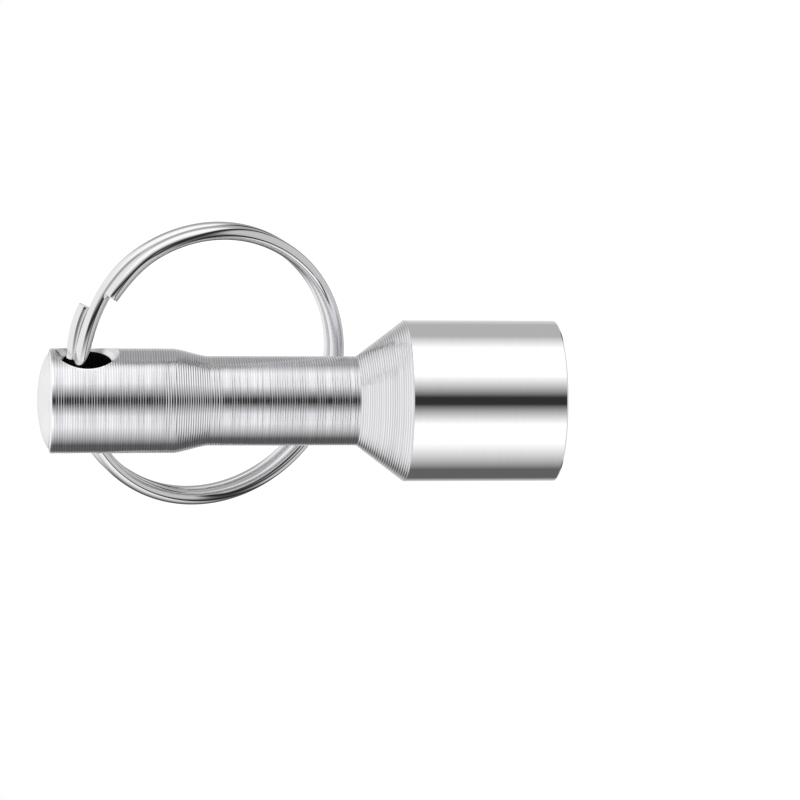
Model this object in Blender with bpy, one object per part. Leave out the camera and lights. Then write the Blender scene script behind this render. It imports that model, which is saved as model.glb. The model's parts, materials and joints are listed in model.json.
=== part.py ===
"""Pocket magnetic detacher for hard security tags, with a split ring.

The object stands on its magnet face: +Z runs from that face, along the stem, to the domed end.
The cross-hole that holds the split ring runs along X, and the ring hangs on the +Y side of the stem.
Every length is in metres.
"""
import math

import bmesh
import bpy
from mathutils import Matrix, Vector

# Head
HEAD_RADIUS = 0.0140
HEAD_LENGTH = 0.0265
RIM_WIDTH = 0.00215
EDGE_BREAK = 0.00025

# Stem, from the head to the domed end
CONE_LENGTH = 0.0083
NECK_RADIUS = 0.00775
NECK_LENGTH = 0.02575
TAPER_LENGTH = 0.00575
TAPER_SOFTNESS = 0.35
BARREL_RADIUS = 0.00903
BARREL_LENGTH = 0.02135
END_ROUNDING = 0.0007
SPIGOT_LENGTH = 0.0078
GLUE_GROOVE_DEPTH = 0.0004
GLUE_GROOVE_WIDTH = 0.0020

# Cross-hole for the ring, countersunk at both mouths
HOLE_RADIUS = 0.00415
HOLE_BELOW_END = 0.0064
COUNTERSINK_RADIUS = 0.0055
COUNTERSINK_DEPTH = 0.0016

# Domed end cap, sunk a little into the end of the barrel
CAP_RADIUS = 0.00815
CAP_SEAT_DEPTH = 0.0004
CAP_DOME_HEIGHT = 0.0020
CAP_FULLNESS = 1.4

# Magnet stack
MAGNET_RADIUS = 0.0112
MAGNET_THICKNESS = 0.0080
MAGNET_CHAMFER = 0.0003
BACK_PLATE_THICKNESS = 0.0025
POTTING_RECESS = 0.00035
POTTING_DEPTH = 0.0030
POTTING_CLEARANCE = 0.0001
SEAT_CLEARANCE = 0.0001

# Split ring
RING_MEAN_RADIUS = 0.02403
WIRE_RADIUS = 0.00125
COIL_PITCH = 0.00262
RING_DROP = 0.0224
RING_SIDE_SHIFT = 0.00375
RING_YAW = math.radians(4.4)
HANG_ANGLE = math.radians(18.0)
JOG_ANGLE = math.radians(55.5)
JOG_HALF_WIDTH = math.radians(24)
WIRE_END_GAP = math.radians(8.5)
END_SPREAD = 0.00090
END_SPREAD_ARC = math.radians(26)
FIRST_END_SPRING = 0.00080
FIRST_END_ARC = math.radians(45)
LAST_END_TUCK = 0.00020
LAST_END_ARC = math.radians(35)

# Clearance between two pieces that touch
GAP = 0.0002

# Mesh fineness
TURNED_SIDES = 64
HOLE_SIDES = 40
WIRE_SIDES = 10
WIRE_STATIONS = 150
DOME_STEPS = 6
TAPER_STEPS = 6
ROUNDING_STEPS = 3

# Heights along the stem
SEAM_Z = HEAD_LENGTH + GAP
CONE_TOP_Z = HEAD_LENGTH + CONE_LENGTH
TAPER_START_Z = CONE_TOP_Z + NECK_LENGTH
TAPER_END_Z = TAPER_START_Z + TAPER_LENGTH
BARREL_END_Z = TAPER_END_Z + BARREL_LENGTH
HOLE_Z = BARREL_END_Z - HOLE_BELOW_END
BORE_RADIUS = HEAD_RADIUS - RIM_WIDTH

# The ring rests slightly turned in the play of its hole
RING_TURN = Matrix.Rotation(RING_YAW, 3, 'Z')


def clear_scene():
    for old in list(bpy.data.objects):
        bpy.data.objects.remove(old, do_unlink=True)


def material(name, colour, metallic, roughness):
    made = bpy.data.materials.new(name)
    made.use_nodes = True
    shader = made.node_tree.nodes["Principled BSDF"]
    shader.inputs["Base Color"].default_value = (*colour, 1.0)
    shader.inputs["Metallic"].default_value = metallic
    shader.inputs["Roughness"].default_value = roughness
    return made


def finish_object(name, mesh_data, finish):
    """Turn a bmesh into a named object with smooth sides and sharp edges."""
    bmesh.ops.recalc_face_normals(mesh_data, faces=mesh_data.faces)
    mesh = bpy.data.meshes.new(name)
    mesh_data.to_mesh(mesh)
    mesh_data.free()
    mesh.materials.append(finish)
    mesh.shade_smooth()
    mesh.set_sharp_from_angle(angle=math.radians(30))
    piece = bpy.data.objects.new(name, mesh)
    bpy.context.scene.collection.objects.link(piece)
    return piece


def turned_loop(mesh_data, radius, height, sides):
    """One ring of vertices round Z, or a single vertex where the radius is zero."""
    if radius == 0.0:
        return [mesh_data.verts.new((0.0, 0.0, height))]
    loop = []
    for step in range(sides):
        angle = 2.0 * math.pi * step / sides
        loop.append(mesh_data.verts.new((radius * math.cos(angle), radius * math.sin(angle), height)))
    return loop


def join_loops(mesh_data, first, second):
    """Faces between two neighbouring rings, or a fan where one of them is a point."""
    count = max(len(first), len(second))
    for step in range(count):
        after = (step + 1) % count
        if len(first) == 1:
            corners = (first[0], second[step], second[after])
        elif len(second) == 1:
            corners = (first[step], second[0], first[after])
        else:
            corners = (first[step], second[step], second[after], first[after])
        mesh_data.faces.new(corners)


def turned(name, outline, finish, hollow=False, sides=TURNED_SIDES):
    """A turned piece from (radius, height) points. A hollow outline closes on itself."""
    mesh_data = bmesh.new()
    loops = [turned_loop(mesh_data, radius, height, sides) for radius, height in outline]
    for first, second in zip(loops, loops[1:]):
        join_loops(mesh_data, first, second)
    if hollow:
        join_loops(mesh_data, loops[-1], loops[0])
    else:
        for end in (loops[0], loops[-1]):
            if len(end) > 1:
                mesh_data.faces.new(end)
    return finish_object(name, mesh_data, finish)


def chamfered_disc(radius, bottom, top, chamfer):
    return [
        (radius - chamfer, bottom),
        (radius, bottom + chamfer),
        (radius, top - chamfer),
        (radius - chamfer, top),
    ]


def smooth_step(fraction):
    return 0.5 - 0.5 * math.cos(math.pi * fraction)


def taper_points():
    """Nearly straight change from the neck to the barrel, eased at both ends."""
    points = []
    for step in range(TAPER_STEPS + 1):
        fraction = step / TAPER_STEPS
        eased = fraction + TAPER_SOFTNESS * (smooth_step(fraction) - fraction)
        radius = NECK_RADIUS + (BARREL_RADIUS - NECK_RADIUS) * eased
        points.append((radius, TAPER_START_Z + TAPER_LENGTH * fraction))
    return points


def barrel_end_points():
    """Rounded corner at the end of the barrel."""
    points = []
    for step in range(ROUNDING_STEPS + 1):
        angle = 0.5 * math.pi * step / ROUNDING_STEPS
        radius = BARREL_RADIUS - END_ROUNDING * (1.0 - math.cos(angle))
        height = BARREL_END_Z - END_ROUNDING * (1.0 - math.sin(angle))
        points.append((radius, height))
    return points


def stem_outline():
    """Spigot, cone, neck, taper and barrel, from the bottom up to the cap's seat."""
    spigot_radius = BORE_RADIUS - GAP
    spigot_bottom = SEAM_Z - SPIGOT_LENGTH
    groove_bottom = spigot_bottom + 0.4 * SPIGOT_LENGTH
    groove_top = groove_bottom + GLUE_GROOVE_WIDTH
    seat_z = BARREL_END_Z - CAP_SEAT_DEPTH
    seat_radius = CAP_RADIUS + SEAT_CLEARANCE
    outline = [
        (spigot_radius - EDGE_BREAK, spigot_bottom),
        (spigot_radius, spigot_bottom + EDGE_BREAK),
        (spigot_radius, groove_bottom),
        (spigot_radius - GLUE_GROOVE_DEPTH, groove_bottom),
        (spigot_radius - GLUE_GROOVE_DEPTH, groove_top),
        (spigot_radius, groove_top),
        (spigot_radius, SEAM_Z),
        (HEAD_RADIUS - EDGE_BREAK, SEAM_Z),
        (HEAD_RADIUS, SEAM_Z + EDGE_BREAK),
        (NECK_RADIUS, CONE_TOP_Z),
    ]
    outline += taper_points()
    outline += barrel_end_points()
    outline += [
        (seat_radius, BARREL_END_Z),
        (seat_radius, seat_z),
    ]
    return outline


def cross_hole_cutter():
    """Cutter for the ring's hole, widening to a countersink at each mouth."""
    flare_start = BARREL_RADIUS - COUNTERSINK_DEPTH
    flare_slope = (COUNTERSINK_RADIUS - HOLE_RADIUS) / COUNTERSINK_DEPTH
    reach = BARREL_RADIUS + 0.001
    flared_radius = HOLE_RADIUS + flare_slope * (reach - flare_start)
    outline = [
        (flared_radius, -reach),
        (HOLE_RADIUS, -flare_start),
        (HOLE_RADIUS, flare_start),
        (flared_radius, reach),
    ]
    cutter_finish = material("cutter", (0.5, 0.5, 0.5), 0.0, 0.5)
    cutter = turned("cross_hole_cutter", outline, cutter_finish, sides=HOLE_SIDES)
    cutter.rotation_euler = (0.0, math.radians(90), 0.0)
    cutter.location = (0.0, 0.0, HOLE_Z)
    cutter.hide_render = True
    cutter.display_type = 'WIRE'
    return cutter


def make_stem():
    finish = material("turned_aluminium", (0.62, 0.63, 0.65), 1.0, 0.32)
    stem = turned("stem", stem_outline(), finish)
    cut = stem.modifiers.new("cross_hole", 'BOOLEAN')
    cut.operation = 'DIFFERENCE'
    cut.solver = 'EXACT'
    cut.object = cross_hole_cutter()


def make_head_sleeve():
    finish = material("polished_sleeve", (0.72, 0.73, 0.75), 1.0, 0.12)
    outline = [
        (BORE_RADIUS + EDGE_BREAK, 0.0),
        (HEAD_RADIUS - EDGE_BREAK, 0.0),
        (HEAD_RADIUS, EDGE_BREAK),
        (HEAD_RADIUS, HEAD_LENGTH - EDGE_BREAK),
        (HEAD_RADIUS - EDGE_BREAK, HEAD_LENGTH),
        (BORE_RADIUS, HEAD_LENGTH),
        (BORE_RADIUS, EDGE_BREAK),
    ]
    turned("head_sleeve", outline, finish, hollow=True)


def make_magnet_stack():
    """Two discs with the flux plate behind them."""
    plating = material("nickel_plating", (0.70, 0.70, 0.71), 1.0, 0.28)
    rear_bottom = MAGNET_THICKNESS + GAP
    plate_bottom = rear_bottom + MAGNET_THICKNESS + GAP
    front = chamfered_disc(MAGNET_RADIUS, 0.0, MAGNET_THICKNESS, MAGNET_CHAMFER)
    rear = chamfered_disc(MAGNET_RADIUS, rear_bottom, rear_bottom + MAGNET_THICKNESS, MAGNET_CHAMFER)
    turned("magnet_front", front, plating)
    turned("magnet_rear", rear, plating)
    steel = material("flux_steel", (0.45, 0.45, 0.46), 1.0, 0.45)
    plate_radius = BORE_RADIUS - GAP
    plate = chamfered_disc(plate_radius, plate_bottom, plate_bottom + BACK_PLATE_THICKNESS, EDGE_BREAK)
    turned("back_plate", plate, steel)


def make_potting_ring():
    """Thin ring of sealing resin that fills the mouth of the gap round the front magnet."""
    finish = material("black_resin", (0.015, 0.015, 0.016), 0.0, 0.45)
    inner = MAGNET_RADIUS + POTTING_CLEARANCE
    outer = BORE_RADIUS - POTTING_CLEARANCE
    bottom = POTTING_RECESS
    top = POTTING_RECESS + POTTING_DEPTH
    outline = [(inner, bottom), (outer, bottom), (outer, top), (inner, top)]
    turned("potting_ring", outline, finish, hollow=True)


def make_end_cap():
    """Shallow dome on a thin disc that sits in the end of the barrel."""
    finish = material("satin_cap", (0.80, 0.80, 0.80), 1.0, 0.25)
    base_z = BARREL_END_Z - CAP_SEAT_DEPTH + GAP
    outline = [(CAP_RADIUS, base_z)]
    for step in range(DOME_STEPS):
        angle = 0.5 * math.pi * (1.0 - step / DOME_STEPS)
        rise = CAP_DOME_HEIGHT * abs(math.cos(angle)) ** CAP_FULLNESS
        outline.append((CAP_RADIUS * math.sin(angle), BARREL_END_Z + rise))
    outline.append((0.0, BARREL_END_Z + CAP_DOME_HEIGHT))
    turned("end_cap", outline, finish)


def coil_offset(angle, first, last):
    """Height of the wire across the coil: one side, the jog, then the other side."""
    crossing = JOG_ANGLE + 2.0 * math.pi
    side = max(-1.0, min(1.0, (angle - crossing) / JOG_HALF_WIDTH))
    offset = -0.5 * COIL_PITCH * math.sin(0.5 * math.pi * side)
    nearest_end = min(angle - first, last - angle)
    spread = END_SPREAD * smooth_step(max(0.0, 1.0 - nearest_end / END_SPREAD_ARC))
    return offset + math.copysign(spread, crossing - angle)


def coil_radius(angle, first, last):
    """Radius of the wire's centre line: one end springs outward, the other tucks inward."""
    spring = FIRST_END_SPRING * smooth_step(max(0.0, 1.0 - (angle - first) / FIRST_END_ARC))
    tuck = LAST_END_TUCK * smooth_step(max(0.0, 1.0 - (last - angle) / LAST_END_ARC))
    return RING_MEAN_RADIUS + spring - tuck


def wire_point(angle, first, last):
    """Point of the wire's centre line, with the hinge axis through the origin."""
    radius = coil_radius(angle, first, last)
    flat_point = Vector((
        RING_SIDE_SHIFT + radius * math.cos(angle),
        coil_offset(angle, first, last),
        radius * math.sin(angle) - RING_DROP,
    ))
    return RING_TURN @ flat_point


def wire_section(mesh_data, angle, first, last, radius):
    """Ring of vertices square to the wire at this angle."""
    small = math.radians(0.05)
    tangent = wire_point(angle + small, first, last) - wire_point(angle - small, first, last)
    outward = RING_TURN @ Vector((math.cos(angle), 0.0, math.sin(angle)))
    across = tangent.cross(outward).normalized()
    centre = wire_point(angle, first, last)
    section = []
    for step in range(WIRE_SIDES):
        turn = 2.0 * math.pi * step / WIRE_SIDES
        point = centre + radius * (math.cos(turn) * outward + math.sin(turn) * across)
        section.append(mesh_data.verts.new(point))
    return section


def make_split_ring():
    """Two turns of round wire that change sides at one jog, hung from an empty on the hinge axis."""
    finish = material("bright_wire", (0.74, 0.74, 0.75), 1.0, 0.15)
    first = JOG_ANGLE + 0.5 * WIRE_END_GAP
    last = JOG_ANGLE - 0.5 * WIRE_END_GAP + 4.0 * math.pi
    bevel_turn = 0.2 * WIRE_RADIUS / RING_MEAN_RADIUS
    stations = [(first, 0.8 * WIRE_RADIUS)]
    for step in range(WIRE_STATIONS + 1):
        fraction = step / WIRE_STATIONS
        angle = first + bevel_turn + (last - first - 2.0 * bevel_turn) * fraction
        stations.append((angle, WIRE_RADIUS))
    stations.append((last, 0.8 * WIRE_RADIUS))
    mesh_data = bmesh.new()
    sections = [wire_section(mesh_data, angle, first, last, radius) for angle, radius in stations]
    for one, other in zip(sections, sections[1:]):
        join_loops(mesh_data, one, other)
    mesh_data.faces.new(sections[0])
    mesh_data.faces.new(sections[-1])
    ring = finish_object("split_ring", mesh_data, finish)
    hinge = bpy.data.objects.new("ring_hinge", None)
    bpy.context.scene.collection.objects.link(hinge)
    hinge.location = (0.0, 0.0, HOLE_Z)
    hinge.rotation_euler = (HANG_ANGLE, 0.0, 0.0)
    ring.parent = hinge


def build():
    clear_scene()
    make_stem()
    make_head_sleeve()
    make_magnet_stack()
    make_potting_ring()
    make_end_cap()
    make_split_ring()


build()
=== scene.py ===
"""Looks of the pocket magnetic detacher: turned, polished and plated metal in a soft studio.

Outer sizes and places come from the object's frame. Lengths are in metres, angles in radians unless
a name or a comment says degrees.
"""

import json
import math
import random

import bmesh
import bpy
from mathutils import Matrix, Vector


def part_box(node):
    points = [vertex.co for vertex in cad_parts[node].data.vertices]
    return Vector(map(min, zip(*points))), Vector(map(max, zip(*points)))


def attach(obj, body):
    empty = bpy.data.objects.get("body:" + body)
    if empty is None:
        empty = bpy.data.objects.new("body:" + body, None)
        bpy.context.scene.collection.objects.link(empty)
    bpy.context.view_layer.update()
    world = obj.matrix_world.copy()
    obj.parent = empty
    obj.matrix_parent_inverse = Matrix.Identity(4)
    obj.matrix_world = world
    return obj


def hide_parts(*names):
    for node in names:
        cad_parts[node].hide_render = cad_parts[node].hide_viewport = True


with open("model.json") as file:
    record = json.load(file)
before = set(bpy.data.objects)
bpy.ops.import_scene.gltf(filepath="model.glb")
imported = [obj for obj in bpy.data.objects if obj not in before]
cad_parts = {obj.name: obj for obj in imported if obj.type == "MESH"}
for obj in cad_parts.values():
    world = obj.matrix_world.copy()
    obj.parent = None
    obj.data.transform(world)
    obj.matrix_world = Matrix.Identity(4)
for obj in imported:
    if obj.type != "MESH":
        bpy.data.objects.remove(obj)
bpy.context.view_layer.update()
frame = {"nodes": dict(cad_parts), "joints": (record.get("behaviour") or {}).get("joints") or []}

# Places and sizes that the frame gives
STEM_LOW, STEM_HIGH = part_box("stem")
SLEEVE_LOW, SLEEVE_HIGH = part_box("head_sleeve")
MAGNET_LOW, MAGNET_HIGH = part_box("magnet_front")
RESIN_LOW, RESIN_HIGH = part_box("potting_ring")
CAP_LOW, CAP_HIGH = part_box("end_cap")
HINGE = Vector(frame["joints"][0]["pos_m"])
HEAD_RADIUS = SLEEVE_HIGH.x
HEAD_TOP_Z = SLEEVE_HIGH.z
MAGNET_RADIUS = MAGNET_HIGH.x
CAP_RADIUS = CAP_HIGH.x
STEM_TOP_Z = STEM_HIGH.z

# Stem shape, as the design has it
SEAM_Z = HEAD_TOP_Z + 0.00003
CONE_TOP_Z = HEAD_TOP_Z + 0.0083
TAPER_START_Z = CONE_TOP_Z + 0.02575
TAPER_END_Z = TAPER_START_Z + 0.00575
TAPER_SOFTNESS = 0.35
NECK_RADIUS = 0.00775
BARREL_RADIUS = 0.00903
END_ROUNDING = 0.00045
SPIGOT_CHAMFER = 0.00025
SEAM_STEP = 0.00006
STEM_SHARP_DEGREES = 22.0
SPIGOT_RADIUS = 0.01165
SPIGOT_BOTTOM_Z = STEM_LOW.z
HOLE_RADIUS = 0.00415
COUNTERSINK_RADIUS = 0.0055
COUNTERSINK_DEPTH = 0.0016
FLARE_START = BARREL_RADIUS - COUNTERSINK_DEPTH
FLARE_SLOPE = (COUNTERSINK_RADIUS - HOLE_RADIUS) / COUNTERSINK_DEPTH

CAP_FULLNESS = 1.4
CAP_STEPS = 60
CAP_SEAT_GAP = 0.0001
CAP_SEAT_FLOOR_GAP = 0.0002
CAP_SEAT_CHAMFER = 0.00004

# Turning marks
# Per-vertex groove depth, which the turned metal turns into painted shade
GROOVE_SHADE_ATTRIBUTE = "groove"
GROOVE_PITCH = 0.000430
TAPER_GROOVE_PITCH = 0.000405
CONE_GROOVE_PITCH = 0.000352
GROOVE_STEPS = 4
CONE_GROOVE_DEPTH = 0.000040
NECK_GROOVE_DEPTH = 0.000041
TAPER_GROOVE_DEPTH = 0.000052
BARREL_GROOVE_DEPTH = 0.000040
# The painted groove shade stops past this depth and this close to the cross-hole's lip
DEEPEST_GROOVE = 0.0001
BARE_LIP = 0.00015
GROOVE_SEED = 28

# Split ring
RING_MEAN_RADIUS = 0.02403
WIRE_RADIUS = 0.00125
COIL_PITCH = 0.00262
RING_DROP = 0.0224
RING_SIDE_SHIFT = 0.00375
RING_YAW = math.radians(4.4)
HANG_ANGLE = math.radians(18.0)
JOG_ANGLE = math.radians(55.5)
JOG_HALF_WIDTH = math.radians(24)
WIRE_END_GAP = math.radians(8.5)
END_SPREAD = 0.00090
END_SPREAD_ARC = math.radians(26)
FIRST_END_SPRING = 0.00080
FIRST_END_ARC = math.radians(45)
LAST_END_TUCK = 0.00020
LAST_END_ARC = math.radians(35)
RING_TURN = Matrix.Rotation(RING_YAW, 3, 'Z')
WIRE_SIDES = 28
WIRE_STATIONS = 520
WIRE_END_ROUNDING = 0.00015
WIRE_END_STEPS = 4

# Camera: looks slightly down on the standing object, rolled so that the stem lies level
CAMERA_AZIMUTH = math.radians(23.5)
CAMERA_ELEVATION = math.radians(8.03)
CAMERA_DISTANCE = 0.5464
CAMERA_LENS = 141.8
CAMERA_TARGET = Vector((0.0, 0.0, 0.02705))
AXIS_OFFSET = 0.00014


# ---------------------------------------------------------------- mesh helpers

def smooth_step(fraction):
    return 0.5 - 0.5 * math.cos(math.pi * fraction)


def add_loop(mesh_data, radius, height, sides):
    if radius == 0.0:
        return [mesh_data.verts.new((0.0, 0.0, height))]
    loop = []
    for step in range(sides):
        angle = 2.0 * math.pi * step / sides
        loop.append(mesh_data.verts.new((radius * math.cos(angle), radius * math.sin(angle), height)))
    return loop


def join_loops(mesh_data, first, second):
    count = max(len(first), len(second))
    for step in range(count):
        after = (step + 1) % count
        if len(first) == 1:
            corners = (first[0], second[step], second[after])
        elif len(second) == 1:
            corners = (first[step], second[0], first[after])
        else:
            corners = (first[step], second[step], second[after], first[after])
        mesh_data.faces.new(corners)


def finish_piece(name, mesh_data, finish, sharp_degrees=30.0):
    bmesh.ops.recalc_face_normals(mesh_data, faces=mesh_data.faces)
    mesh = bpy.data.meshes.new(name)
    mesh_data.to_mesh(mesh)
    mesh_data.free()
    mesh.materials.append(finish)
    mesh.shade_smooth()
    mesh.set_sharp_from_angle(angle=math.radians(sharp_degrees))
    piece = bpy.data.objects.new(name, mesh)
    bpy.context.scene.collection.objects.link(piece)
    return piece


def turned(name, outline, finish, hollow=False, sides=192, sharp_degrees=30.0):
    """Turned piece from (radius, height) points; a hollow outline closes on itself."""
    mesh_data = bmesh.new()
    loops = [add_loop(mesh_data, radius, height, sides) for radius, height in outline]
    for first, second in zip(loops, loops[1:]):
        join_loops(mesh_data, first, second)
    if hollow:
        join_loops(mesh_data, loops[-1], loops[0])
    else:
        for end in (loops[0], loops[-1]):
            if len(end) > 1:
                mesh_data.faces.new(end)
    return finish_piece(name, mesh_data, finish, sharp_degrees)


def arc(centre_radius, centre_height, size, start_degrees, end_degrees, steps):
    """Points of a rounded edge in the (radius, height) plane."""
    points = []
    for step in range(steps + 1):
        angle = math.radians(start_degrees + (end_degrees - start_degrees) * step / steps)
        points.append((centre_radius + size * math.cos(angle), centre_height + size * math.sin(angle)))
    return points


# ---------------------------------------------------------------- material helpers

class Nodes:
    """Small helper that keeps a material's node code short."""

    def __init__(self, name):
        self.material = bpy.data.materials.new(name)
        self.material.use_nodes = True
        self.tree = self.material.node_tree
        self.shader = self.tree.nodes["Principled BSDF"]
        self.coordinates = self.add("ShaderNodeTexCoord")

    def add(self, kind, **settings):
        node = self.tree.nodes.new(kind)
        for key, value in settings.items():
            if key in node.inputs:
                node.inputs[key].default_value = value
            else:
                setattr(node, key, value)
        return node

    def link(self, output, target):
        self.tree.links.new(output, target)

    def surface(self, colour, metallic, roughness, **sockets):
        self.shader.inputs["Base Color"].default_value = (*colour, 1.0)
        self.shader.inputs["Metallic"].default_value = metallic
        self.shader.inputs["Roughness"].default_value = roughness
        for key, value in sockets.items():
            self.shader.inputs[key].default_value = value

    def stretched(self, scale, output="Object"):
        mapping = self.add("ShaderNodeMapping", Scale=scale)
        self.link(self.coordinates.outputs[output], mapping.inputs["Vector"])
        return mapping.outputs["Vector"]

    def noise(self, vector, scale, detail=4.0, roughness=0.5):
        node = self.add("ShaderNodeTexNoise", Scale=scale, Detail=detail, Roughness=roughness)
        self.link(vector, node.inputs["Vector"])
        return node.outputs["Fac"]

    def spread(self, value, low, high, from_low=0.3, from_high=0.7):
        """Map a 0..1 texture value to low..high."""
        node = self.add("ShaderNodeMapRange")
        node.inputs["From Min"].default_value = from_low
        node.inputs["From Max"].default_value = from_high
        node.inputs["To Min"].default_value = low
        node.inputs["To Max"].default_value = high
        self.link(value, node.inputs["Value"])
        return node.outputs["Result"]

    def ramp(self, value, low_colour, high_colour, low=0.3, high=0.7):
        node = self.add("ShaderNodeValToRGB")
        node.color_ramp.elements[0].position = low
        node.color_ramp.elements[0].color = (*low_colour, 1.0)
        node.color_ramp.elements[1].position = high
        node.color_ramp.elements[1].color = (*high_colour, 1.0)
        self.link(value, node.inputs["Fac"])
        return node.outputs["Color"]

    def bump(self, value, strength, distance):
        node = self.add("ShaderNodeBump", Strength=strength, Distance=distance)
        self.link(value, node.inputs["Height"])
        self.link(node.outputs["Normal"], self.shader.inputs["Normal"])


def turned_metal():
    """Aluminium straight from the lathe, with painted shade darkening the bottom of each groove; no two rings
    quite alike.
    """
    made = Nodes("turned_metal")
    made.surface((0.92, 0.92, 0.93), 1.0, 0.12, Anisotropic=0.4)
    tangent = made.add("ShaderNodeTangent", direction_type='RADIAL', axis='Z')
    made.link(tangent.outputs["Tangent"], made.shader.inputs["Tangent"])
    # Painted shade: the base colour darkens towards the bottom of each groove.
    groove = made.add("ShaderNodeAttribute", attribute_name=GROOVE_SHADE_ATTRIBUTE)
    shade = made.ramp(groove.outputs["Fac"], (1.0, 1.0, 1.0), (0.66, 0.66, 0.69), 0.15, 0.95)
    rings = made.noise(made.stretched((25.0, 25.0, 9000.0)), 1.0, 1.0)
    tint = made.ramp(rings, (0.84, 0.84, 0.86), (1.0, 1.0, 1.0))
    both = made.add("ShaderNodeMix", data_type='RGBA', blend_type='MULTIPLY')
    both.inputs["Factor"].default_value = 1.0
    made.link(shade, both.inputs["A"])
    made.link(tint, both.inputs["B"])
    made.link(both.outputs["Result"], made.shader.inputs["Base Color"])
    chatter = made.noise(made.stretched((60.0, 60.0, 4700.0)), 1.0, 1.0)
    made.link(made.spread(chatter, 0.05, 0.18), made.shader.inputs["Roughness"])
    return made.material


def countersunk_metal():
    """Flared mouth of the cross-hole, with its turning rings round the hole's own axis."""
    made = Nodes("countersunk_metal")
    made.surface((0.80, 0.80, 0.81), 1.0, 0.2)
    rings = made.noise(made.stretched((7000.0, 30.0, 30.0)), 1.0, 2.0)
    made.link(made.ramp(rings, (0.60, 0.60, 0.61), (0.90, 0.90, 0.91)), made.shader.inputs["Base Color"])
    made.link(made.spread(rings, 0.14, 0.26), made.shader.inputs["Roughness"])
    return made.material


def bore_shade_metal():
    """Drilled wall of the cross-hole, dull, with its base colour painted near black as the shade deep inside
    the hole.
    """
    made = Nodes("bore_shade_metal")
    made.surface((0.02, 0.02, 0.021), 0.6, 0.5)
    rings = made.noise(made.stretched((1600.0, 60.0, 60.0)), 1.0, 3.0)
    # Painted shade: near-black base colour with a faint random tone along the bore.
    made.link(made.ramp(rings, (0.008, 0.008, 0.009), (0.03, 0.03, 0.031)), made.shader.inputs["Base Color"])
    made.link(made.spread(rings, 0.4, 0.6), made.shader.inputs["Roughness"])
    return made.material


def polished_metal():
    """Mirror finish with only a breath of polishing haze."""
    made = Nodes("polished_metal")
    made.surface((0.97, 0.97, 0.975), 1.0, 0.02)
    haze = made.noise(made.stretched((90.0, 90.0, 1500.0)), 1.0, 3.0)
    made.link(made.spread(haze, 0.012, 0.03), made.shader.inputs["Roughness"])
    made.link(made.ramp(haze, (0.955, 0.955, 0.96), (0.975, 0.975, 0.975)), made.shader.inputs["Base Color"])
    return made.material


def magnet_plating():
    """Satin nickel with a fine grain."""
    made = Nodes("magnet_plating")
    made.surface((0.80, 0.80, 0.82), 1.0, 0.28)
    grain = made.noise(made.stretched((1.0, 1.0, 1.0)), 2400.0, 4.0)
    cloud = made.noise(made.stretched((1.0, 1.0, 1.0)), 140.0, 3.0)
    made.link(made.ramp(cloud, (0.77, 0.77, 0.79), (0.83, 0.83, 0.85)), made.shader.inputs["Base Color"])
    made.link(made.spread(grain, 0.24, 0.34), made.shader.inputs["Roughness"])
    made.bump(grain, 0.08, 0.00001)
    return made.material


def flux_steel():
    """Plain machined steel for the plate behind the magnets."""
    made = Nodes("flux_steel")
    made.surface((0.42, 0.42, 0.43), 1.0, 0.4)
    grain = made.noise(made.stretched((300.0, 300.0, 2000.0)), 1.0, 4.0)
    made.link(made.ramp(grain, (0.34, 0.34, 0.35), (0.48, 0.48, 0.49)), made.shader.inputs["Base Color"])
    made.link(made.spread(grain, 0.34, 0.5), made.shader.inputs["Roughness"])
    return made.material


def black_resin():
    """Cured resin, slightly uneven."""
    made = Nodes("black_resin")
    made.surface((0.012, 0.012, 0.013), 0.0, 0.35)
    lumps = made.noise(made.stretched((1.0, 1.0, 1.0)), 900.0, 3.0)
    made.link(made.ramp(lumps, (0.008, 0.008, 0.009), (0.02, 0.02, 0.021)), made.shader.inputs["Base Color"])
    made.link(made.spread(lumps, 0.3, 0.5), made.shader.inputs["Roughness"])
    made.bump(lumps, 0.3, 0.00004)
    return made.material


def smooth_cap():
    """Pale satin metal of the domed end."""
    made = Nodes("smooth_cap")
    made.surface((0.88, 0.88, 0.88), 1.0, 0.5)
    cloud = made.noise(made.stretched((1.0, 1.0, 1.0)), 260.0, 3.0)
    grain = made.noise(made.stretched((1.0, 1.0, 1.0)), 3200.0, 3.0)
    made.link(made.ramp(cloud, (0.85, 0.85, 0.855), (0.91, 0.91, 0.91)), made.shader.inputs["Base Color"])
    made.link(made.spread(grain, 0.44, 0.56), made.shader.inputs["Roughness"])
    made.bump(grain, 0.06, 0.00001)
    return made.material


def ring_wire():
    """Bright plated spring wire with faint drawing lines along it."""
    made = Nodes("ring_wire")
    made.surface((0.93, 0.93, 0.94), 1.0, 0.04)
    lines = made.noise(made.stretched((60.0, 3.0, 1.0), "UV"), 1.0, 3.0)
    made.link(made.ramp(lines, (0.76, 0.76, 0.77), (0.84, 0.84, 0.85)), made.shader.inputs["Base Color"])
    made.link(made.spread(lines, 0.02, 0.06), made.shader.inputs["Roughness"])
    return made.material


# ---------------------------------------------------------------- stem

def plain_stem_radius(z):
    """Radius of the stem at a height, without turning marks."""
    if z < CONE_TOP_Z:
        fraction = (z - SEAM_Z) / (CONE_TOP_Z - SEAM_Z)
        return HEAD_RADIUS + (NECK_RADIUS - HEAD_RADIUS) * fraction
    if z < TAPER_START_Z:
        return NECK_RADIUS
    if z < TAPER_END_Z:
        fraction = (z - TAPER_START_Z) / (TAPER_END_Z - TAPER_START_Z)
        eased = fraction + TAPER_SOFTNESS * (smooth_step(fraction) - fraction)
        return NECK_RADIUS + (BARREL_RADIUS - NECK_RADIUS) * eased
    return BARREL_RADIUS


def groove_pitch(z):
    if z < CONE_TOP_Z:
        return CONE_GROOVE_PITCH
    if TAPER_START_Z < z < TAPER_END_Z:
        return TAPER_GROOVE_PITCH
    return GROOVE_PITCH


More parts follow.
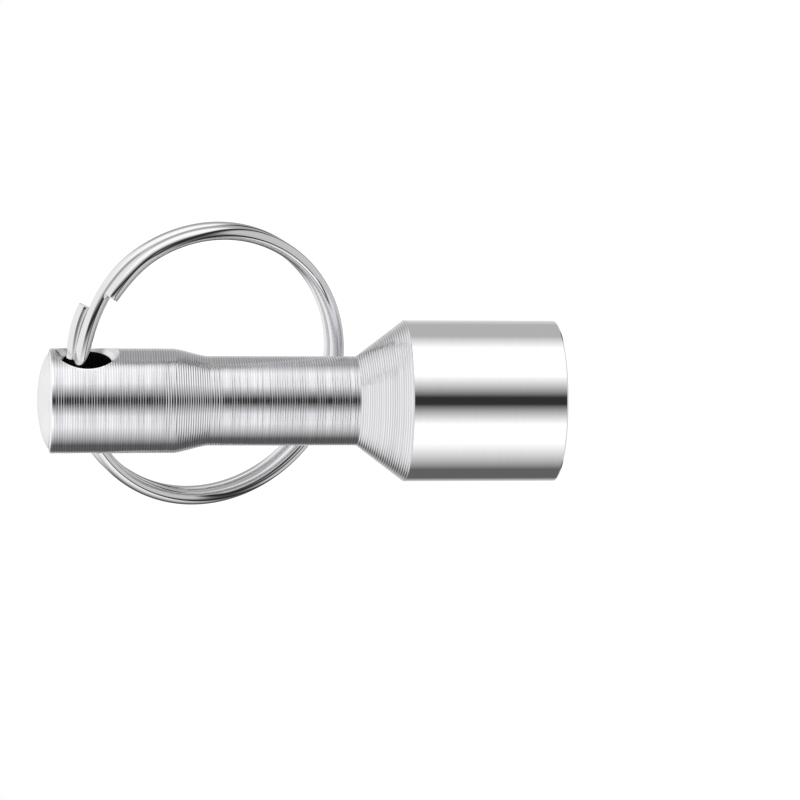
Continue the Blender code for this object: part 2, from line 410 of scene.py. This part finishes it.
def groove_depth(z):
    if z < CONE_TOP_Z:
        return CONE_GROOVE_DEPTH
    if TAPER_START_Z - 0.002 < z < TAPER_END_Z + 0.002:
        return TAPER_GROOVE_DEPTH
    if z < TAPER_START_Z:
        return NECK_GROOVE_DEPTH
    return BARREL_GROOVE_DEPTH


def grooved_points():
    """Outline of the turned surface, a scallop for each turn of the tool."""
    rng = random.Random(GROOVE_SEED)
    points = []
    z = SEAM_Z
    last_start = STEM_TOP_Z - END_ROUNDING - 1.02 * GROOVE_PITCH
    while z < last_start:
        pitch = groove_pitch(z) * rng.uniform(0.99, 1.01)
        depth = groove_depth(z) * rng.uniform(0.85, 1.15)
        for step in range(GROOVE_STEPS):
            fraction = step / GROOVE_STEPS
            height = z + pitch * fraction
            scallop = 4.0 * fraction * (1.0 - fraction)
            points.append((plain_stem_radius(height) - depth * scallop, height))
        z += pitch
    return points


def stem_outline():
    """Half outline of the stem, from the spigot inside the head to the floor of the cap's seat."""
    seat_radius = CAP_RADIUS + CAP_SEAT_GAP
    seat_z = CAP_LOW.z - CAP_SEAT_FLOOR_GAP
    outline = [
        (SPIGOT_RADIUS - SPIGOT_CHAMFER, SPIGOT_BOTTOM_Z),
        (SPIGOT_RADIUS, SPIGOT_BOTTOM_Z + SPIGOT_CHAMFER),
        (SPIGOT_RADIUS, SEAM_Z),
        (HEAD_RADIUS - SEAM_STEP, SEAM_Z),
    ]
    outline += grooved_points()
    outline += arc(BARREL_RADIUS - END_ROUNDING, STEM_TOP_Z - END_ROUNDING, END_ROUNDING, 0, 90, 10)
    outline += [
        (seat_radius + CAP_SEAT_CHAMFER, STEM_TOP_Z),
        (seat_radius, STEM_TOP_Z - CAP_SEAT_CHAMFER),
        (seat_radius, seat_z),
    ]
    return outline


def hole_cutter(finish, bore_shade_finish):
    """Tool shape of the cross-hole, a straight bore with a countersink at each mouth."""
    reach = BARREL_RADIUS + 0.001
    flared_radius = HOLE_RADIUS + FLARE_SLOPE * (reach - FLARE_START)
    outline = [
        (flared_radius, -reach),
        (HOLE_RADIUS, -FLARE_START),
        (HOLE_RADIUS, FLARE_START),
        (flared_radius, reach),
    ]
    cutter = turned("hole_cutter", outline, finish, sides=96)
    cutter.data.materials.append(bore_shade_finish)
    # Faces in the middle of the bore take the painted bore shade, the flared mouths the countersunk metal.
    for face in cutter.data.polygons:
        if abs(face.center.z) < 0.5 * FLARE_START:
            face.material_index = 1
    cutter.data.transform(Matrix.Translation(HINGE) @ Matrix.Rotation(math.radians(90), 4, 'Y'))
    return cutter


def shade_grooves(mesh):
    """Store on each vertex how deep in a groove it lies, 0 on a crest and 1 at the bottom, as the mask of the
    painted groove shade.
    """
    depths = []
    for vertex in mesh.vertices:
        x, y, z = vertex.co
        depth = plain_stem_radius(z) - math.hypot(x, y)
        flare_radius = HOLE_RADIUS + FLARE_SLOPE * max(0.0, abs(x) - FLARE_START)
        from_lip = math.hypot(y, z - HINGE.z) - flare_radius
        # No painted groove shade off the turned wall or close to the cross-hole's lip.
        on_wall = SEAM_Z < z < STEM_TOP_Z - END_ROUNDING and depth < DEEPEST_GROOVE and from_lip > BARE_LIP
        depths.append(min(1.0, max(0.0, depth / groove_depth(z))) if on_wall else 0.0)
    mesh.attributes.new(GROOVE_SHADE_ATTRIBUTE, 'FLOAT', 'POINT').data.foreach_set("value", depths)


def make_stem(finish, flare_finish, bore_shade_finish):
    stem = turned("stem_turned", stem_outline(), finish, sides=112, sharp_degrees=STEM_SHARP_DEGREES)
    cutter = hole_cutter(flare_finish, bore_shade_finish)
    cut = stem.modifiers.new("cross_hole", 'BOOLEAN')
    cut.operation = 'DIFFERENCE'
    cut.solver = 'EXACT'
    cut.material_mode = 'TRANSFER'
    cut.object = cutter
    evaluated = stem.evaluated_get(bpy.context.evaluated_depsgraph_get())
    stem.data = bpy.data.meshes.new_from_object(evaluated)
    stem.modifiers.clear()
    bpy.data.objects.remove(cutter)
    stem.data.shade_smooth()
    stem.data.set_sharp_from_angle(angle=math.radians(STEM_SHARP_DEGREES))
    shade_grooves(stem.data)
    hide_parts("stem")
    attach(stem, "detacher")


# ---------------------------------------------------------------- head

def make_sleeve(finish):
    face_chamfer = 0.00025
    mouth_rounding = 0.0002
    top_rounding = 0.00005
    holding_loop_z = HEAD_TOP_Z - 0.00012
    bore = RESIN_HIGH.x + 0.0001
    outline = arc(bore + mouth_rounding, mouth_rounding, mouth_rounding, 180, 270, 6)
    outline += [(HEAD_RADIUS - face_chamfer, 0.0), (HEAD_RADIUS, face_chamfer), (HEAD_RADIUS, holding_loop_z)]
    outline += arc(HEAD_RADIUS - top_rounding, HEAD_TOP_Z - top_rounding, top_rounding, 0, 90, 4)
    outline += [(bore, HEAD_TOP_Z)]
    sleeve = turned("head_sleeve_polished", outline, finish, hollow=True, sides=256, sharp_degrees=40.0)
    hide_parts("head_sleeve")
    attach(sleeve, "detacher")


def make_magnet(finish):
    chamfer = 0.0003
    corner = 0.00004
    outline = [
        (MAGNET_RADIUS - chamfer, MAGNET_LOW.z),
        (MAGNET_RADIUS - corner, MAGNET_LOW.z + chamfer - corner),
        (MAGNET_RADIUS, MAGNET_LOW.z + chamfer),
        (MAGNET_RADIUS, MAGNET_HIGH.z - chamfer),
        (MAGNET_RADIUS - chamfer, MAGNET_HIGH.z),
    ]
    magnet = turned("magnet_face_disc", outline, finish, sides=192)
    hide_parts("magnet_front")
    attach(magnet, "detacher")


def make_resin(finish):
    inner = MAGNET_RADIUS + 0.0001
    outer = RESIN_HIGH.x
    sag = 0.00012
    sag_steps = 6
    bottom = RESIN_LOW.z
    outline = []
    for step in range(sag_steps + 1):
        fraction = step / sag_steps
        outline.append((inner + (outer - inner) * fraction, bottom + sag * math.sin(math.pi * fraction)))
    outline += [(outer, RESIN_HIGH.z), (inner, RESIN_HIGH.z)]
    resin = turned("resin_ring", outline, finish, hollow=True, sides=192)
    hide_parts("potting_ring")
    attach(resin, "detacher")


def make_cap(finish):
    dome_height = CAP_HIGH.z - STEM_TOP_Z
    outline = [(CAP_RADIUS, CAP_LOW.z)]
    for step in range(CAP_STEPS):
        angle = 0.5 * math.pi * (1.0 - step / CAP_STEPS)
        rise = dome_height * abs(math.cos(angle)) ** CAP_FULLNESS
        outline.append((CAP_RADIUS * math.sin(angle), STEM_TOP_Z + rise))
    outline.append((0.0, CAP_HIGH.z))
    cap = turned("end_cap_dome", outline, finish, sides=192)
    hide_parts("end_cap")
    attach(cap, "detacher")


# ---------------------------------------------------------------- split ring

RING_FIRST = JOG_ANGLE + 0.5 * WIRE_END_GAP
RING_LAST = JOG_ANGLE - 0.5 * WIRE_END_GAP + 4.0 * math.pi


def coil_offset(angle):
    """Height of the wire across the coil: one side, the crossing, then the other side."""
    crossing = JOG_ANGLE + 2.0 * math.pi
    side = max(-1.0, min(1.0, (angle - crossing) / JOG_HALF_WIDTH))
    offset = -0.5 * COIL_PITCH * math.sin(0.5 * math.pi * side)
    nearest_end = min(angle - RING_FIRST, RING_LAST - angle)
    spread = END_SPREAD * smooth_step(max(0.0, 1.0 - nearest_end / END_SPREAD_ARC))
    return offset + math.copysign(spread, crossing - angle)


def coil_radius(angle):
    """Radius of the wire's centre line: one end springs outward, the other tucks inward."""
    spring = FIRST_END_SPRING * smooth_step(max(0.0, 1.0 - (angle - RING_FIRST) / FIRST_END_ARC))
    tuck = LAST_END_TUCK * smooth_step(max(0.0, 1.0 - (RING_LAST - angle) / LAST_END_ARC))
    return RING_MEAN_RADIUS + spring - tuck


def wire_point(angle):
    """Point of the wire's centre line, with the hinge axis through the origin."""
    radius = coil_radius(angle)
    flat_point = Vector((
        RING_SIDE_SHIFT + radius * math.cos(angle),
        coil_offset(angle),
        radius * math.sin(angle) - RING_DROP,
    ))
    return RING_TURN @ flat_point


def wire_section(mesh_data, angle, radius):
    """Ring of vertices square to the wire at this angle."""
    small = math.radians(0.05)
    tangent = wire_point(angle + small) - wire_point(angle - small)
    outward = RING_TURN @ Vector((math.cos(angle), 0.0, math.sin(angle)))
    across = tangent.cross(outward).normalized()
    centre = wire_point(angle)
    section = []
    for step in range(WIRE_SIDES):
        turn = 2.0 * math.pi * step / WIRE_SIDES
        radial = math.cos(turn) * outward + math.sin(turn) * across
        section.append(mesh_data.verts.new(centre + radius * radial))
    return section


def wire_stations():
    """(angle, wire radius) along the wire, with the edge of each cut end rounded."""
    edge = WIRE_END_ROUNDING / RING_MEAN_RADIUS
    rounding = []
    for step in range(WIRE_END_STEPS + 1):
        turn = 0.5 * math.pi * step / WIRE_END_STEPS
        rounding.append((edge * (1.0 - math.sin(turn)), WIRE_END_ROUNDING * (1.0 - math.cos(turn))))
    first_end = [(RING_FIRST + inward, WIRE_RADIUS - loss) for inward, loss in reversed(rounding)]
    last_end = [(RING_LAST - inward, WIRE_RADIUS - loss) for inward, loss in rounding]
    start = RING_FIRST + edge
    span = RING_LAST - edge - start
    middle = [(start + span * step / WIRE_STATIONS, WIRE_RADIUS) for step in range(1, WIRE_STATIONS)]
    return first_end + middle + last_end


def make_ring(finish):
    mesh_data = bmesh.new()
    sections = [wire_section(mesh_data, angle, radius) for angle, radius in wire_stations()]
    coordinates = mesh_data.loops.layers.uv.new("UVMap")
    for row, (one, other) in enumerate(zip(sections, sections[1:])):
        for step in range(WIRE_SIDES):
            after = (step + 1) % WIRE_SIDES
            face = mesh_data.faces.new((one[step], other[step], other[after], one[after]))
            corners = ((step, row), (step, row + 1), (step + 1, row + 1), (step + 1, row))
            for loop, (around, along) in zip(face.loops, corners):
                loop[coordinates].uv = (around / WIRE_SIDES, 2.0 * along / WIRE_STATIONS)
    mesh_data.faces.new(sections[0])
    mesh_data.faces.new(sections[-1])
    mesh_data.transform(Matrix.Translation(HINGE) @ Matrix.Rotation(HANG_ANGLE, 4, 'X'))
    ring = finish_piece("split_ring_wire", mesh_data, finish, 40.0)
    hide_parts("split_ring")
    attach(ring, "ring")


# ---------------------------------------------------------------- studio

# Panels of the studio wall as (start, end, level), in degrees round Z from the camera's direction.
# Between two panels the light fades evenly.
WALL_PANELS = (
    (-180, -170, 0.8),   # pale wall behind
    (-145, -115, 0.12),  # dark flag
    (-60, -35, 1.1),     # fill soft box
    (-5, 5, 0.03),       # gap that the camera looks through
    (40, 75, 1.2),       # key soft box
    (105, 140, 0.45),    # grey card
    (170, 180, 0.8),     # pale wall behind
)
OVERHEAD_LEVEL = 1.0
OVERHEAD_ABOVE = math.radians(25)
OVERHEAD_SOFTNESS = math.radians(10)
TABLE_LEVEL = 0.65
TABLE_EDGE_LEVEL = 0.03
TABLE_EDGE_TOP = math.radians(-30)
TABLE_EDGE_BOTTOM = math.radians(-40)
TABLE_SOFTNESS = math.radians(3)


def panel_ramp(tree, share):
    """Grey level round Z, with a stop at each edge of each wall panel."""
    ramp = tree.nodes.new("ShaderNodeValToRGB")
    elements = ramp.color_ramp.elements
    elements.remove(elements[-1])
    stops = [(angle, level) for start, end, level in WALL_PANELS for angle in (start, end)]
    for index, (angle, level) in enumerate(stops):
        position = (angle + 180.0) / 360.0
        stop = elements[0] if index == 0 else elements.new(position)
        stop.position = position
        stop.color = (level, level, level, 1.0)
    tree.links.new(share, ramp.inputs["Fac"])
    return ramp.outputs["Color"]


def plain_level(tree, level):
    node = tree.nodes.new("ShaderNodeRGB")
    node.outputs["Color"].default_value = (level, level, level, 1.0)
    return node.outputs["Color"]


def height_mask(tree, elevation, edge, softness):
    """0 below the edge elevation, 1 above it, soft over the given angle each way."""
    mask = tree.nodes.new("ShaderNodeMapRange")
    mask.interpolation_type = 'SMOOTHSTEP'
    mask.inputs["From Min"].default_value = edge - softness
    mask.inputs["From Max"].default_value = edge + softness
    tree.links.new(elevation, mask.inputs["Value"])
    return mask.outputs["Result"]


def blend(tree, mask, first, second):
    mixer = tree.nodes.new("ShaderNodeMix")
    mixer.data_type = 'RGBA'
    tree.links.new(mask, mixer.inputs["Factor"])
    tree.links.new(first, mixer.inputs["A"])
    tree.links.new(second, mixer.inputs["B"])
    return mixer.outputs["Result"]


def arithmetic(tree, operation, first, second=None):
    node = tree.nodes.new("ShaderNodeMath")
    node.operation = operation
    tree.links.new(first, node.inputs[0])
    if second is not None:
        tree.links.new(second, node.inputs[1])
    return node.outputs["Value"]


def make_studio():
    """World light: a wall of soft boxes round the object, an overhead light and a pale table."""
    world = bpy.data.worlds.new("studio")
    bpy.context.scene.world = world
    world.use_nodes = True
    tree = world.node_tree
    place = tree.nodes.new("ShaderNodeTexCoord")
    turn = tree.nodes.new("ShaderNodeVectorRotate")
    turn.rotation_type = 'Z_AXIS'
    turn.inputs["Angle"].default_value = math.radians(90) - CAMERA_AZIMUTH
    tree.links.new(place.outputs["Generated"], turn.inputs["Vector"])
    split = tree.nodes.new("ShaderNodeSeparateXYZ")
    tree.links.new(turn.outputs["Vector"], split.inputs["Vector"])
    around = arithmetic(tree, 'ARCTAN2', split.outputs["Y"], split.outputs["X"])
    elevation = arithmetic(tree, 'ARCSINE', split.outputs["Z"])
    share = tree.nodes.new("ShaderNodeMapRange")
    share.inputs["From Min"].default_value = -math.pi
    share.inputs["From Max"].default_value = math.pi
    tree.links.new(around, share.inputs["Value"])
    share = share.outputs["Result"]

    above_edge = height_mask(tree, elevation, TABLE_EDGE_TOP, TABLE_SOFTNESS)
    above_table = height_mask(tree, elevation, TABLE_EDGE_BOTTOM, TABLE_SOFTNESS)
    overhead = height_mask(tree, elevation, OVERHEAD_ABOVE, OVERHEAD_SOFTNESS)
    light = blend(tree, above_table, plain_level(tree, TABLE_LEVEL), plain_level(tree, TABLE_EDGE_LEVEL))
    light = blend(tree, above_edge, light, panel_ramp(tree, share))
    light = blend(tree, overhead, light, plain_level(tree, OVERHEAD_LEVEL))
    tree.links.new(light, tree.nodes["Background"].inputs["Color"])


def plain_white(name, strength, colour):
    made = bpy.data.materials.new(name)
    made.use_nodes = True
    shader = made.node_tree.nodes["Principled BSDF"]
    shader.inputs["Base Color"].default_value = (*colour, 1.0)
    shader.inputs["Roughness"].default_value = 0.6
    shader.inputs["Specular IOR Level"].default_value = 0.0
    shader.inputs["Emission Color"].default_value = (1.0, 1.0, 1.0, 1.0)
    shader.inputs["Emission Strength"].default_value = strength
    return made


def make_floor():
    """Plain pale floor, which takes no shadow and isn't mirrored in the metal."""
    mesh_data = bmesh.new()
    bmesh.ops.create_circle(mesh_data, cap_ends=True, segments=96, radius=5.0)
    floor = finish_piece("floor", mesh_data, plain_white("pale_floor", 0.85, (0.3, 0.3, 0.3)))
    floor.visible_glossy = False
    floor.visible_shadow = False
    floor.location.z = -0.00002


def make_backdrop():
    """Plain white surround behind the object."""
    mesh_data = bmesh.new()
    bmesh.ops.create_uvsphere(mesh_data, u_segments=48, v_segments=24, radius=4.9)
    backdrop = finish_piece("backdrop", mesh_data, plain_white("pale_backdrop", 1.0, (0.0, 0.0, 0.0)))
    backdrop.visible_glossy = False
    backdrop.visible_diffuse = False
    backdrop.visible_shadow = False
    backdrop.visible_transmission = False


def make_camera():
    back = Vector((
        math.sin(CAMERA_AZIMUTH) * math.cos(CAMERA_ELEVATION),
        -math.cos(CAMERA_AZIMUTH) * math.cos(CAMERA_ELEVATION),
        math.sin(CAMERA_ELEVATION),
    ))
    side = Vector((math.cos(CAMERA_AZIMUTH), math.sin(CAMERA_AZIMUTH), 0.0))
    upright = back.cross(side)
    camera = bpy.data.objects.new("camera", bpy.data.cameras.new("camera"))
    bpy.context.scene.collection.objects.link(camera)
    turn = Matrix((-upright, side, back)).transposed().to_4x4()
    place = CAMERA_TARGET + AXIS_OFFSET * side + CAMERA_DISTANCE * back
    camera.matrix_world = Matrix.Translation(place) @ turn
    camera.data.lens = CAMERA_LENS
    camera.data.clip_end = 20.0
    bpy.context.scene.camera = camera


def main():
    bpy.context.scene.view_settings.view_transform = "Standard"
    make_camera()
    make_studio()
    make_floor()
    make_backdrop()
    make_stem(turned_metal(), countersunk_metal(), bore_shade_metal())
    make_sleeve(polished_metal())
    plating = magnet_plating()
    make_magnet(plating)
    make_resin(black_resin())
    make_cap(smooth_cap())
    make_ring(ring_wire())
    for node, finish in (("magnet_rear", plating), ("back_plate", flux_steel())):
        frame["nodes"][node].data.materials.clear()
        frame["nodes"][node].data.materials.append(finish)


main()
